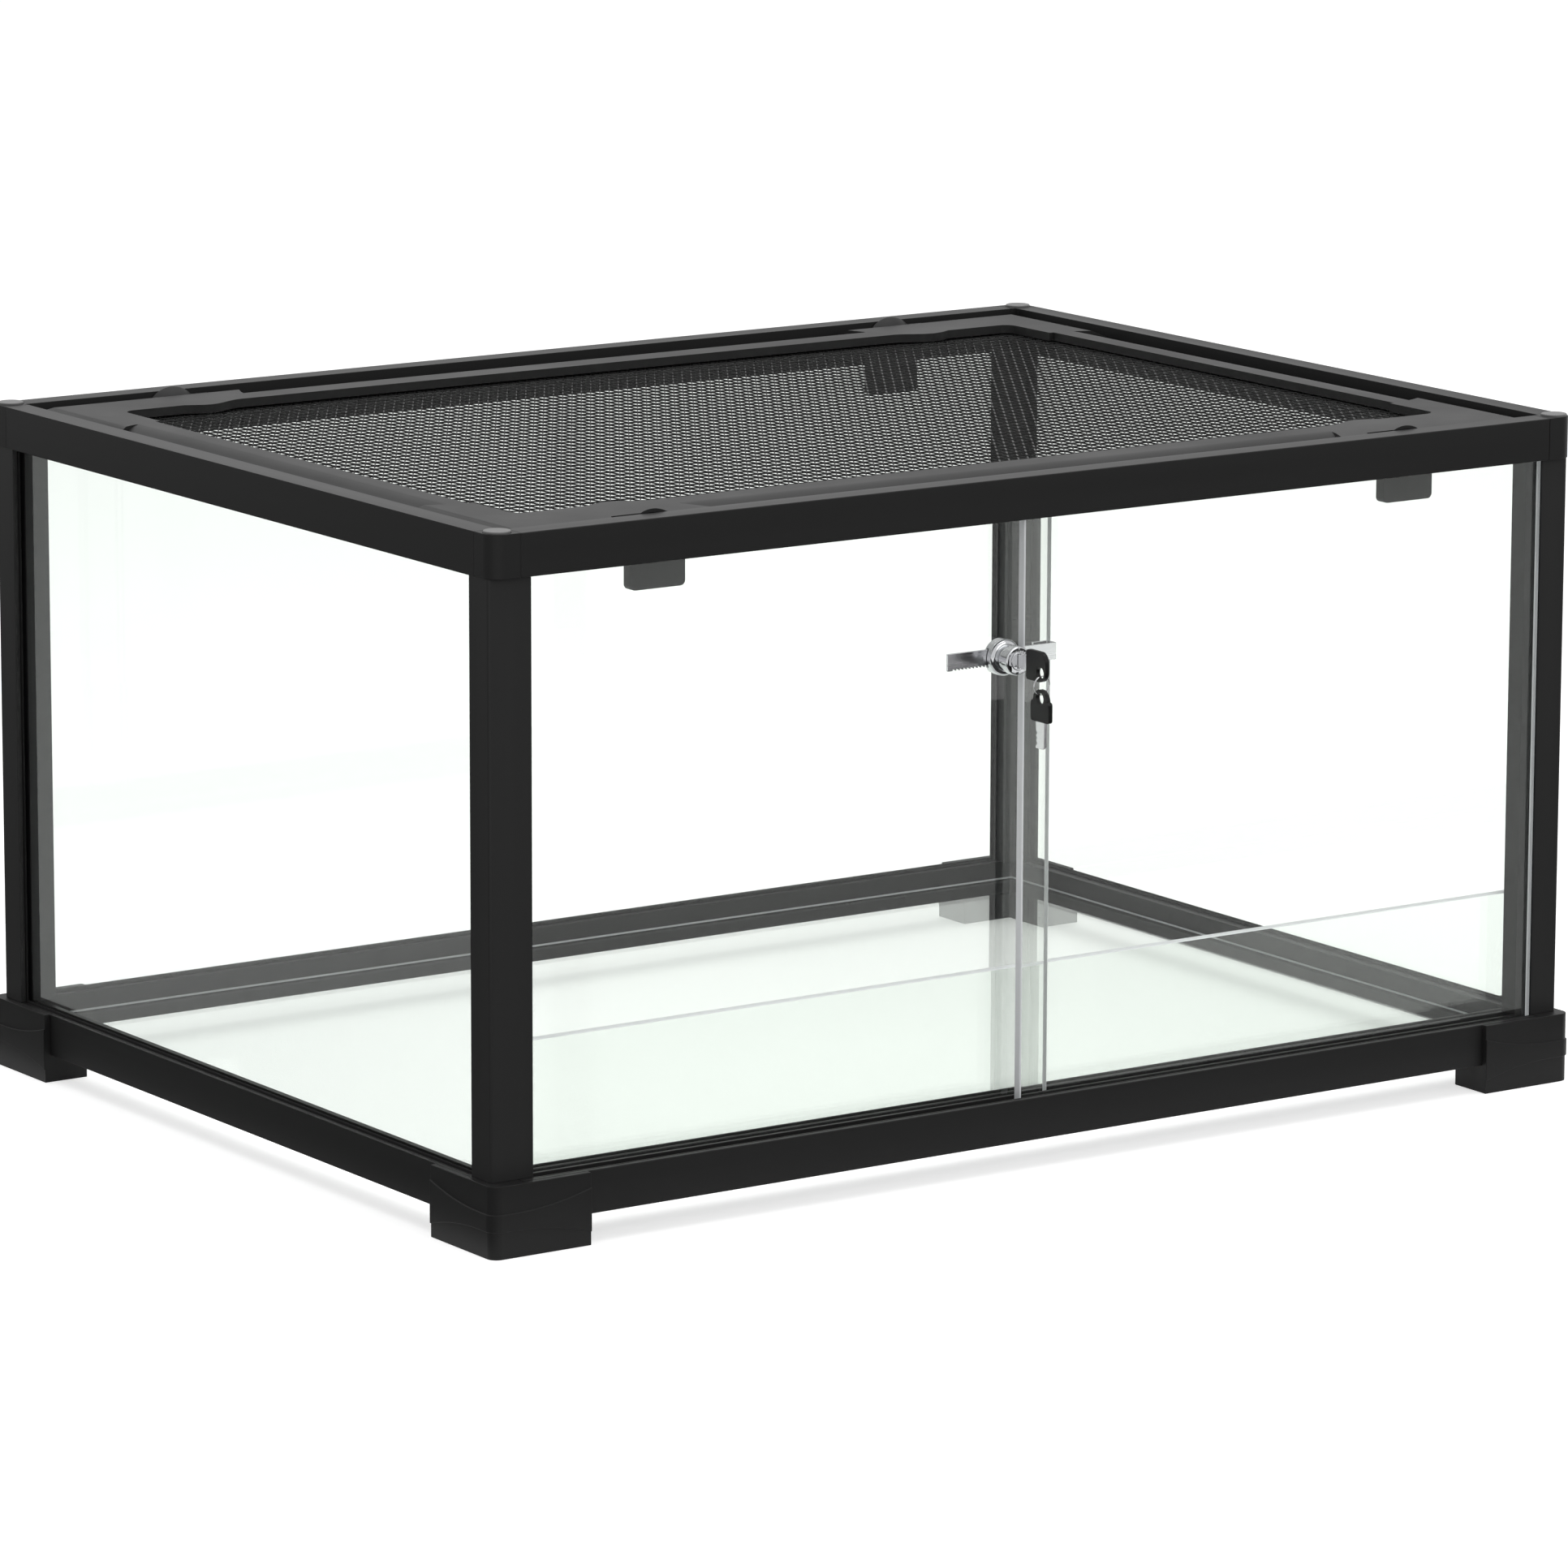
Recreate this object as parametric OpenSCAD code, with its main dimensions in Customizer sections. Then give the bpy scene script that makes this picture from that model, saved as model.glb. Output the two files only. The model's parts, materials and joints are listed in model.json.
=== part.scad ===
// Front-opening glass enclosure with sliding doors, a lift-off mesh screen and a ratchet lock.
// Millimetres, +Z up, front towards -Y. The whole footprint, key included, is centred on the origin.

/* [Enclosure] */
// Width over the top rails
cage_w = 610; // [540:1:900]
// Depth over the top rails
cage_d = 449; // [400:1:640]
// Height from the ground to the top of the rails
cage_h = 325; // [300:1:600]

/* [Rails] */
// Height of every rail
rail_h = 20; // [19:0.5:26]
// Depth of the side, back and top rails
rail_t = 20; // [19.5:0.5:22]
// Depth of the front base rail, the sill under the doors
sill_d = 33; // [31:0.5:45]
// Height of the base rails above the ground
rail_lift = 13.5; // [9:0.5:24]
// Width of the upper face of a top rail, outside the screen ledge
rail_face_w = 12.3; // [12:0.1:14]
// Depth of the screen ledge below the top of the rails
ledge_drop = 10.8; // [10:0.1:11.5]
// Thickness of the ledge over the upper door track
ledge_plate = 1.7; // [1:0.1:2.5]
// Square left at each corner for the corner mouldings
corner_core = 15; // [14:0.5:16]
// Rounding of the top corners
top_corner_r = 7.5; // [3:0.5:12]
// Height above the ground of the ledge under the floor panel
floor_z = 20; // [17:0.5:24]

/* [Tenons] */
// Distance of a tenon from the outer face of its rail
tenon_inset = 4; // [3:0.5:5]
// Width of a tenon
tenon_w = 6; // [4:0.5:7]
// Height of a tenon
tenon_h = 6.5; // [4:0.5:7]
// Distance of a tenon from the lower or upper face of its rail
tenon_drop = 2.5; // [1.5:0.1:3.5]
// Length of a tenon
tenon_len = 12; // [6:1:20]
// Clearance of a tenon in its socket
tenon_fit = 0.15; // [0.05:0.05:0.3]

/* [Posts] */
// Width of a corner post
post_w = 22.3; // [20:0.1:26]
// Depth of a corner post
post_d = 16; // [15.5:0.1:20]
// Set-back of the posts from the side faces of the rails
post_inset_x = 0.5; // [0:0.1:1.5]
// Set-back of the posts from the front and back faces of the rails
post_inset_y = 4; // [3:0.1:4.2]
// Rounding of the outer edge of a post
post_r = 1.5; // [0.5:0.1:3]

/* [Base corners] */
// Thickness of the moulding outside the rails
foot_wrap = 3; // [2:0.1:5]
// Length of each leg of a base corner
foot_leg = 52; // [40:1:80]
// Rounding of the outer edge of a base corner
foot_r = 5; // [3:0.5:8]
// Height of the middle of the raised band
band_mid = 16.5; // [14:0.1:18]
// Height of the raised band at the corner
band_h = 8; // [5:0.1:11]
// How much the band opens, up and down, at the end of a leg
band_flare = 6.1; // [2:0.1:8]
// How far the band stands out
band_raise = 0.65; // [0.3:0.05:1.2]

/* [Caps and screws] */
// Distance of the screws and caps from the outer faces
cap_inset = 7; // [6.5:0.1:8]
// Radius of a corner cap
cap_r = 6.2; // [5:0.1:6.3]
// Thickness of a corner cap
cap_t = 3; // [2:0.1:4]
// How far a cap stands out of its corner
cap_rise = 1; // [0.4:0.1:1.6]
// Radius of a screw's shank
screw_r = 2; // [1.5:0.1:2.4]
// Radius of a screw's head
screw_head_r = 4.2; // [3:0.1:4.6]
// Height of a screw's head
screw_head_h = 3; // [2:0.1:4]
// Depth of a screw in its post
screw_grip = 22; // [12:1:40]
// Depth of the foot screw's head above the ground
foot_screw_sink = 2; // [1:0.5:5]
// Clearance round a screw or a cap
screw_fit = 0.1; // [0.05:0.05:0.3]

/* [Glass] */
// Thickness of the fixed panes, the floor and the barrier
glass_t = 5; // [4:0.1:6]
// Distance of the side panes from the outer face of the rails
pane_inset = 4; // [3:0.1:4.4]
// Distance of the back pane from the outer face of the rails
back_inset = 6; // [5.5:0.1:6.2]
// Depth of a pane's edge in the frame
pane_bite = 6; // [4:0.1:6]
// Thickness of the rubber gasket round a pane
gasket_t = 0.8; // [0.4:0.1:1]
// Width of gasket that shows on the glass
gasket_lip = 1.2; // [0.5:0.1:3]
// Height above the ground of the top of the front barrier
barrier_top = 92; // [60:1:150]
// Distance of the front barrier from the front face
barrier_inset = 21; // [20.5:0.1:23]
// Wall between the barrier and the floor panel
barrier_wall = 2; // [1:0.1:3]
// Play of the floor panel and the barrier in their seats
pane_fit = 0.3; // [0.1:0.1:0.6]

/* [Doors] */
// Thickness of the door glass
door_t = 5; // [4:0.1:5.2]
// Distance of the outer door from the front face
door_inset = 4.4; // [4.2:0.1:4.8]
// Gap between the two doors
door_gap = 2.8; // [2.6:0.1:3]
// Play of a door in its groove, on each side
door_play = 0.4; // [0.3:0.05:0.5]
// Depth of a door in the lower groove
bite_low = 3.8; // [2.5:0.1:4.4]
// Depth of a door in the upper groove
bite_up = 2.8; // [2:0.1:3]
// Distance of a closed door's edge from the corner mouldings
door_stop = 1.3; // [0.5:0.1:4]
// Clearance under a door and beyond its closed edge
door_clear = 0.3; // [0.2:0.05:0.6]
// Left edge of the right door, from the middle
right_door_edge = -15; // [-30:0.5:-6]
// Right edge of the left door, from the middle
left_door_edge = 4.5; // [0:0.5:20]
// Wall of the door tracks beside the grooves
track_wall = 1; // [0.6:0.1:1.2]
// Floor of the upper door track behind its grooves
track_floor = 0.8; // [0.6:0.1:1.4]
// Height of the lower door track
track_h = 8; // [6:0.5:9]
// Play of the tracks in their recesses
track_fit = 0.1; // [0.05:0.05:0.2]

/* [Screen] */
// Drop of the screen frame below the top of the rails
frame_drop = 1.3; // [0.5:0.1:2]
// Play of the screen frame inside the top rails
frame_play = 0.4; // [0.3:0.1:0.8]
// Clearance of the resting screen over its ledge
frame_rest = 0.3; // [0.2:0.1:0.5]
// Distance of the mesh opening from the side faces
window_side = 41.5; // [40:0.5:55]
// Distance of the mesh opening from the front and back faces
window_front = 47.7; // [46:0.1:60]
// Rounding of the corners of the mesh opening
window_r = 6; // [2:0.5:12]
// How far the corner pads reach into the mesh opening
pad_step = 2.5; // [0:0.1:4]
// Length of that reach along the sides
pad_in_side = 38; // [20:1:60]
// Length of that reach along the front and back
pad_in_front = 50; // [40:1:70]
// Distance of the flat crest from the side faces
crest_side = 33; // [30:0.5:36]
// Distance of the flat crest from the front and back faces
crest_front = 35; // [33:0.5:38]
// Rounding of the crest towards the rails
crest_r = 22; // [14:1:26]
// Slope of the frame towards the rails
crest_slope = 22; // [16:1:22]
// Length of each corner pad along the front and back
pad_front = 121; // [112:1:140]
// Length of each corner pad along the sides
pad_side = 88; // [60:1:120]
// Slant of the ends of the pads
pad_slant = 7; // [0:1:14]
// Depth of the mesh below the crest
mesh_drop = 4.2; // [3.5:0.1:4.5]
// Thickness of the mesh wire
wire_t = 1; // [0.5:0.1:1]
// Length of a mesh cell along the front
cell_w = 5.4; // [4:0.1:12]
// Length of a mesh cell from front to back
cell_d = 8.3; // [6:0.1:16]
// Width of mesh held under the frame
mesh_lap = 11; // [8:0.5:11]
// Width of the woven edge of the mesh
mesh_hem = 7; // [4:0.5:7.5]
// Gap between neighbouring clamping strips
strip_gap = 0.4; // [0.2:0.1:1]
// Thickness of the strips that clamp the mesh
strip_t = 2.4; // [1.5:0.1:2.5]

/* [Clips] */
// Distance of the clips from the side faces
clip_inset = 92.5; // [80:0.5:110]
// Distance of a finger hood's open face from the outer face
hood_inset = 13; // [12.9:0.1:13.4]
// Radius of the hood's open face
hood_r = 15.5; // [13:0.1:20]
// Distance of the middle of the hood's curve outside its open face
hood_set = 9; // [7:0.1:11]
// Thickness of the hood
hood_wall = 1.5; // [1:0.1:2]
// How far the hood stands above the rails
hood_rise = 1.8; // [0.8:0.1:3]
// Depth of the hood's foot plate below the crest of the frame
plate_drop = 1.3; // [0.8:0.1:2]
// Width of the plate behind and beside the hood
plate_rim = 0.2; // [0.1:0.1:0.6]
// Length of the plate beyond the hood
plate_run = 9; // [3:0.5:12]
// Slant of the plate's end
plate_slant = 3; // [0:0.5:5]
// Width of the hanging block
block_w = 29; // [22:0.5:30]
// Thickness of the hanging block
block_t = 5.9; // [4:0.1:6]
// Offset of the hanging block from the hood
block_shift = 6.3; // [0:0.1:7]
// Reach of the hanging block below the top rails
block_reach = 15.5; // [8:0.5:25]
// Rounding of the lower corners of the block
block_r = 2.5; // [1:0.5:6]
// Width of the runners beside the block
wing_w = 2; // [1:0.1:3]
// Height of the web above the bottom of the screen frame
web_lift = 2; // [1.5:0.1:2.4]
// Thickness of the web between plate and block
web_t = 3.2; // [2:0.1:3.4]
// Travel of a pressed clip
clip_travel = 2; // [1:0.1:2.4]
// Clearance of a clip in its slide
clip_clear = 0.5; // [0.3:0.05:0.6]
// Clearance above and below a clip's web
clip_roof = 0.3; // [0.2:0.05:0.5]
// How far the frame widens over the mesh behind a clip
bulge = 7; // [0:0.1:8]
// Half length of that widening
bulge_half = 21; // [16:0.5:28]
// Offset of that widening from the clip
bulge_shift = 2; // [0:0.5:6]

/* [Lock] */
// Height of the lock's axis above the ground
lock_z = 241; // [180:1:260]
// Thickness of the ratchet bar
bar_t = 1.2; // [0.8:0.1:1.3]
// Height of the ratchet bar
bar_h = 8; // [6:0.1:9]
// Reach of the ratchet bar left of the left door's edge
bar_len = 58.5; // [50:0.5:90]
// Length of the hook behind the left door
hook_len = 8; // [5:0.5:14]
// Distance between ratchet teeth
tooth_pitch = 2; // [1.5:0.1:3]
// Depth of the ratchet teeth
tooth_h = 1; // [0.5:0.1:1.4]
// Plain length of the ratchet bar at each end of its teeth
tooth_margin = 3; // [1:0.5:8]
// Flat between ratchet teeth
tooth_flat = 0.3; // [0.1:0.1:0.6]
// Clearance round the ratchet bar
bar_clear = 0.3; // [0.2:0.05:0.3]
// Radius of the lock body at the glass
drum_r = 8.5; // [7:0.1:10]
// Radius of the lock body's nose
nose_r = 6.8; // [6:0.1:7]
// Length of the lock body
drum_len = 15.7; // [14:0.1:22]
// Length of the wide part of the lock body
drum_step = 6.5; // [5:0.1:7]
// Radius of the waist behind the nose
waist_r = 6; // [5:0.1:6.4]
// Length of the nose
nose_len = 4.6; // [3:0.1:6]
// Rounding of the wide part of the lock body
collar_r = 2.2; // [0.5:0.1:2.6]
// Thickness of the lock body behind the bar
drum_back = 0.7; // [0.5:0.1:0.7]
// Clearance between the lock body and the glass
drum_gap = 0.3; // [0.2:0.05:0.3]
// Radius of the lock plug
plug_r = 4.2; // [3.6:0.1:4.5]
// Depth of the lock plug
plug_depth = 10; // [8:0.1:10.5]
// How far the lock plug stands out
plug_proud = 0.3; // [0.2:0.1:0.6]
// Running clearance of the lock plug
plug_fit = 0.05; // [0.02:0.01:0.1]

/* [Keys] */
// Thickness of a key's blade
blade_t = 1.6; // [1.2:0.1:1.8]
// Width of a key's blade
blade_w = 6.4; // [4:0.1:6.5]
// Length of a key's blade outside its head
blade_len = 12.5; // [12:0.1:18]
// Distance between the nicks of a key's blade
nick_pitch = 2.4; // [2:0.1:2.6]
// Depth of the nicks of a key's blade
nick_h = 1.2; // [0.6:0.1:1.4]
// Depth of a key's blade in its head
blade_seat = 5; // [3:0.1:5]
// Clearance of the blade in the keyway and the head
blade_fit = 0.1; // [0.05:0.05:0.2]
// Gap between the lock and the head of its key
head_gap = 7; // [5:0.1:8]
// Length of a key's head
head_len = 15; // [13:0.1:18]
// Width of a key's head
head_w = 14; // [12:0.1:16]
// Thickness of a key's head
head_t = 2.2; // [2:0.1:2.4]
// Rounding of a key's head beside the blade
head_r = 1.5; // [1:0.1:3]
// Rounding of the far end of a key's head
head_end_r = 5; // [4:0.1:5]
// Length of the spare key's head up to its narrower tab
tab_start = 9.8; // [8:0.1:10.5]
// Radius of that tab
tab_r = 5.4; // [4.8:0.1:6]
// Radius of the hole in a key's head
hole_r = 2.8; // [2.6:0.1:3]
// Width of head left beside the hole
hole_web = 1.4; // [1.2:0.1:1.6]
// Radius of the ring to the middle of its wire
ring_r = 4.3; // [4.2:0.1:5]
// Radius of the ring's wire
ring_wire = 0.6; // [0.4:0.05:0.65]
// Hang of the ring's middle below the web that it goes round
ring_hang = 2.2; // [2:0.1:2.3]
// Gap between the ring and the hole of the spare key
spare_gap = 0.45; // [0.4:0.05:0.6]

/* [Hidden] */
$fn = 48;
cut = 1;

// Frame levels and faces, measured from the middle of the enclosure
half_w = cage_w / 2;
half_d = cage_d / 2;
base_top = rail_lift + rail_h;
top_z = cage_h - rail_h;
ledge_z = cage_h - ledge_drop;
rail_end_x = half_w - corner_core;
rail_end_y = half_d - corner_core;
post_x = half_w - post_inset_x - post_w;
post_y = half_d - post_inset_y - post_d;
post_h = top_z - base_top;
base_tenon_z = rail_lift + tenon_drop;
top_tenon_z = cage_h - tenon_drop - tenon_h;
foot_leg_t = foot_wrap + rail_t;

// Glass seats
groove_w = glass_t + 2 * gasket_t;
groove_depth = pane_bite + gasket_t;
pane_z = base_top - pane_bite;
pane_h = post_h + 2 * pane_bite;
ledge_inset = barrier_inset + glass_t + barrier_wall;
side_pane_x = half_w - pane_inset - glass_t / 2;
side_pane_len = 2 * (post_y + pane_bite);
back_pane_y = half_d - back_inset - glass_t / 2;
back_pane_len = 2 * (post_x + pane_bite);

// Doors: distances from the front face
inner_inset = door_inset + door_t + door_gap;
slot_w = door_t + 2 * door_play;
track_front = door_inset - door_play - track_wall;
track_back = inner_inset + door_t + door_play + track_wall;
track_d = track_back - track_front;
upper_track_h = ledge_z - ledge_plate - top_z;
door_z = base_top - bite_low;
door_h = top_z + bite_up - door_z;
door_far_x = rail_end_x - door_stop;

// Screen
frame_z = ledge_z + frame_rest;
frame_top = cage_h - frame_drop;
frame_side = rail_face_w + frame_play;
window_x = half_w - window_side;
window_y = half_d - window_front;
mesh_top = frame_top - mesh_drop;
mesh_x = window_x + mesh_lap;
mesh_y = window_y + mesh_lap;
wire_lean = atan(cell_w / cell_d);
wire_pitch = cell_w * cos(wire_lean);
web_top = frame_z + web_lift + web_t;
web_z = web_top - web_t;
block_inset = rail_t + frame_play;
block_x = block_shift - block_w / 2;
block_back = block_inset + block_t;
clip_x = half_w - clip_inset;
plate_top = frame_top - plate_drop;
hood_z = cage_h + hood_rise - hood_r;
hood_ball = sqrt(pow(hood_r, 2) + pow(hood_set, 2));
hood_half = sqrt(pow(hood_r, 2) - pow(plate_top - hood_z, 2));
hood_back = hood_inset - hood_set + sqrt(pow(hood_ball, 2) - pow(plate_top - hood_z, 2));
plate_back = hood_back + plate_rim;
plate_left = hood_half + plate_run;
plate_right = hood_half + plate_rim;

// Lock and keys
bar_back = inner_inset - drum_gap - drum_back - bar_clear;
lock_x = right_door_edge - drum_gap - drum_r;
drum_back_y = inner_inset - drum_gap - half_d;
nose_y = drum_back_y - drum_len;
head_y = nose_y - head_gap;
hole_y = head_y - head_len + hole_web + hole_r;
web_mid_z = lock_z - head_w / 2 + hole_web / 2;
ring_z = web_mid_z - ring_hang;
swing_z = ring_z - ring_r;
spare_top = swing_z + ring_wire + spare_gap + hole_web;

// Shift that centres the footprint between the spare key and the back corners
front_reach = head_w / 2 - hole_y;
back_reach = half_d + foot_wrap + band_raise;
mid_y = (front_reach - back_reach) / 2;

black_metal = [0.14, 0.14, 0.14];
black_plastic = [0.12, 0.12, 0.12];
screen_grey = [0.2, 0.2, 0.2];
cap_grey = [0.6, 0.6, 0.6];
clear_glass = [0.8, 0.9, 0.88, 0.35];
rubber = [0.05, 0.05, 0.05];
steel = [0.75, 0.75, 0.77];

module in_frame() translate([0, mid_y, 0]) children();

// Extrudes a section drawn in Y and Z along X, or one drawn in X and Z along Y
module along_x(length) rotate([90, 0, 90]) linear_extrude(length, center = true) children();
module along_y(length) rotate([90, 0, 0]) linear_extrude(length, center = true) children();

// Puts a back right shape at any corner: side_x and side_y are 1 or -1
module at_corner(side_x, side_y) {
    mirror([side_x < 0 ? 1 : 0, 0, 0])
        mirror([0, side_y < 0 ? 1 : 0, 0]) children();
}

// Puts something at the four screw positions
module at_screws(z) {
    for (side_x = [-1, 1])
        for (side_y = [-1, 1])
            translate([side_x * (half_w - cap_inset), side_y * (half_d - cap_inset), z]) children();
}

// Rectangle whose far corner is rounded
module one_round_corner(x, y, w, d, r) {
    translate([x, y]) square([w - r, d]);
    translate([x, y]) square([w, d - r]);
    translate([x + w - r, y + d - r]) circle(r);
}

// Rectangle about the middle with four round corners
module round_window(w, d, r) {
    square([w - 2 * r, d], center = true);
    square([w, d - 2 * r], center = true);
    for (side_x = [-1, 1])
        for (side_y = [-1, 1])
            translate([side_x * (w / 2 - r), side_y * (d / 2 - r)]) circle(r);
}

// Tenons of a corner moulding: one into each rail
module tenons(z, grow) {
    reach = tenon_len + grow;
    width = tenon_w + 2 * grow;
    height = tenon_h + 2 * grow;
    translate([rail_end_x - reach, half_d - tenon_inset - tenon_w - grow, z - grow])
        cube([reach + cut, width, height]);
    translate([half_w - tenon_inset - tenon_w - grow, rail_end_y - reach, z - grow])
        cube([width, reach + cut, height]);
}

// Sockets for all the tenons at one level
module sockets(z) {
    for (side_x = [-1, 1])
        for (side_y = [-1, 1])
            at_corner(side_x, side_y) tenons(z, tenon_fit);
}

// Base corner: a foot that wraps two rails, with a raised band that opens towards the ends of its legs
module foot_outline(grow) {
    far_x = half_w + foot_wrap;
    far_y = half_d + foot_wrap;
    intersection() {
        one_round_corner(far_x - foot_leg, far_y - foot_leg, foot_leg + grow, foot_leg + grow,
                         foot_r + grow);
        union() {
            translate([far_x - foot_leg, far_y - foot_leg_t]) square([foot_leg + grow, foot_leg_t + grow]);
            translate([far_x - foot_leg_t, far_y - foot_leg]) square([foot_leg_t + grow, foot_leg + grow]);
        }
    }
}

// Half height of the band at a distance u from the corner
flare_start = foot_leg_t / 2;
function flare(u) = band_h / 2 + band_flare * pow(max(0, (u - flare_start) / (foot_leg - flare_start)), 2);

module band_outline(far) {
    steps = 12;
    u = [for (i = [0 : steps]) foot_leg * i / steps];
    upper = [for (i = [0 : steps]) [far - u[i], band_mid + flare(u[i])]];
    lower = [for (i = [steps : -1 : 0]) [far - u[i], band_mid - flare(u[i])]];
    start = [[far + 2 * band_raise, band_mid - flare(0)], [far + 2 * band_raise, band_mid + flare(0)]];
    polygon(concat(start, upper, lower));
}

module foot_band() {
    deep = foot_wrap + 2 * band_raise;
    intersection() {
        linear_extrude(base_top) foot_outline(band_raise);
        union() {
            translate([0, half_d + deep / 2, 0]) along_y(deep) band_outline(half_w + foot_wrap);
            translate([half_w + deep / 2, 0, 0]) along_x(deep) band_outline(half_d + foot_wrap);
        }
    }
}

module base_corner() {
    difference() {
        union() {
            linear_extrude(rail_lift) foot_outline(0);
            linear_extrude(base_top) intersection() {
                foot_outline(0);
                union() {
                    translate([half_w - foot_leg, half_d]) square(2 * foot_leg);
                    translate([half_w, half_d - foot_leg]) square(2 * foot_leg);
                    translate([rail_end_x, rail_end_y]) square(foot_leg);
                }
            }
            foot_band();
            tenons(base_tenon_z, 0);
        }
        glass_seats();
        translate([half_w - cap_inset, half_d - cap_inset, -cut]) {
            cylinder(r = screw_r + screw_fit, h = base_top + 2 * cut);
            cylinder(r = screw_head_r + screw_fit, h = cut + foot_screw_sink + screw_head_h);
        }
    }
}

// Base rails: a gasket groove outside, and a ledge for the floor panel inside
module rail_section(inset, depth) {
    difference() {
        translate([-depth, rail_lift]) square([depth, rail_h]);
        translate([-inset - glass_t - gasket_t, base_top - groove_depth])
            square([groove_w, groove_depth + cut]);
        translate([-depth - cut, floor_z]) square([depth - corner_core + cut, base_top - floor_z + cut]);
    }
}

module base_rail_side() {
    difference() {
        along_y(2 * rail_end_y) translate([half_w, 0]) rail_section(pane_inset, rail_t);
        sockets(base_tenon_z);
        // The inner ledge stops at the sill and at the back rail
        translate([half_w - rail_t - cut, sill_d - half_d - cage_d, 0])
            cube([rail_t - corner_core + cut, cage_d, base_top]);
        translate([half_w - rail_t - cut, half_d - rail_t, 0])
            cube([rail_t - corner_core + cut, cage_d, base_top]);
    }
}

// Sill: recess for the door track, groove for the barrier, ledge for the floor panel
module sill_section() {
    difference() {
        translate([0, rail_lift]) square([sill_d, rail_h]);
        translate([track_front - track_fit, base_top - track_h])
            square([track_d + 2 * track_fit, track_h + cut]);
        translate([barrier_inset - pane_fit, pane_z]) square([glass_t + 2 * pane_fit, pane_bite + cut]);
        translate([ledge_inset, floor_z]) square([sill_d, base_top]);
    }
}

// Corner posts: a gasket groove for the side pane, and one for the back pane or the door
module post_blank() {
    linear_extrude(post_h) one_round_corner(post_x, post_y, post_w, post_d, post_r);
}

module post(pane_grooves) {
    translate([0, 0, base_top]) difference() {
        post_blank();
        translate([half_w - pane_inset - glass_t - gasket_t, post_y - cut, -cut])
            cube([groove_w, groove_depth + cut, post_h + 2 * cut]);
        if (pane_grooves)
            translate([post_x - cut, half_d - back_inset - glass_t - gasket_t, -cut])
                cube([groove_depth + cut, groove_w, post_h + 2 * cut]);
        translate([half_w - cap_inset, half_d - cap_inset, -cut])
            cylinder(r = screw_r + screw_fit / 2, h = post_h + 2 * cut);
    }
}

// Front post cut for a closed door; from and to are distances from the front face
module door_post(from, to) {
    difference() {
        post(false);
        translate([post_x - cut, half_d - to, base_top - cut])
            cube([door_far_x - post_x + door_clear + cut, to - from, post_h + 2 * cut]);
    }
}

// Top rails, and the strips inside them that are the screen's ledge
module top_section() translate([-rail_face_w, top_z]) square([rail_face_w, rail_h]);
module ledge_section() translate([-rail_t, top_z]) square([rail_t - rail_face_w, ledge_z - top_z]);

// Groove below for a pane, and recess below for the upper door track
module over_pane(inset) {
    difference() {
        children();
        translate([-inset - glass_t - gasket_t, top_z - cut]) square([groove_w, groove_depth + cut]);
    }
}

module over_track() {
    difference() {
        children();
        translate([-track_back - track_fit, top_z - cut])
            square([track_d + 2 * track_fit, upper_track_h + cut]);
    }
}

module along_front() mirror([0, 1, 0]) translate([0, half_d, 0]) along_x(2 * rail_end_x) children();
module along_back() translate([0, half_d, 0]) along_x(2 * rail_end_x) children();
module along_side() along_y(2 * rail_end_y) translate([half_w, 0]) children();

module top_rail_side() {
    difference() {
        along_side() over_pane(pane_inset) top_section();
        sockets(top_tenon_z);
    }
}

// The side strips stop at the front and back strips
module ledge_side() {
    difference() {
        along_side() over_pane(pane_inset) ledge_section();
        for (side_y = [-1, 1])
            at_corner(1, side_y) translate([half_w - rail_t - cut, half_d - rail_t, top_z - cut])
                cube([rail_t - corner_core + cut, rail_t, rail_h + 2 * cut]);
    }
}

module top_corner() {
    difference() {
        union() {
            translate([0, 0, top_z]) linear_extrude(rail_h)
                one_round_corner(rail_end_x, rail_end_y, corner_core, corner_core, top_corner_r);
            tenons(top_tenon_z, 0);
        }
        glass_seats();
        translate([rail_end_x - cut, rail_end_y - cut, ledge_z])
            cube([corner_core - rail_face_w + cut, corner_core - rail_face_w + cut, ledge_drop + cut]);
        translate([half_w - cap_inset, half_d - cap_inset, top_z - cut]) {
            cylinder(r = screw_r + screw_fit, h = rail_h + 2 * cut);
            translate([0, 0, rail_h + cut - cap_t + cap_rise]) cylinder(r = cap_r + screw_fit, h = cap_t);
            translate([0, 0, rail_h + cut - cap_t + cap_rise - screw_head_h])
                cylinder(r = screw_head_r + screw_fit, h = cap_t);
        }
    }
}

// Cap with a softened rim
module corner_cap() {
    soft = cap_rise / 2;
    rotate_extrude() {
        square([cap_r, cap_t - soft]);
        square([cap_r - soft, cap_t]);
        translate([cap_r - soft, cap_t - soft]) circle(soft);
    }
}

// Screw with its head at the bottom, pointing up
module screw(length) {
    cylinder(r = screw_head_r, h = screw_head_h);
    cylinder(r = screw_r, h = length);
}

// Pane in X and Z or in Y and Z, the block that its gasket fills, and the U-section gasket
module pane(length, across_x) {
    size = across_x ? [length, glass_t, pane_h] : [glass_t, length, pane_h];
    translate([-size[0] / 2, -size[1] / 2, pane_z]) cube(size);
}

module gasket_block(length, across_x) {
    long = length + 2 * gasket_t;
    size = across_x ? [long, groove_w, pane_h + 2 * gasket_t] : [groove_w, long, pane_h + 2 * gasket_t];
    translate([-size[0] / 2, -size[1] / 2, pane_z - gasket_t]) cube(size);
}

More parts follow.
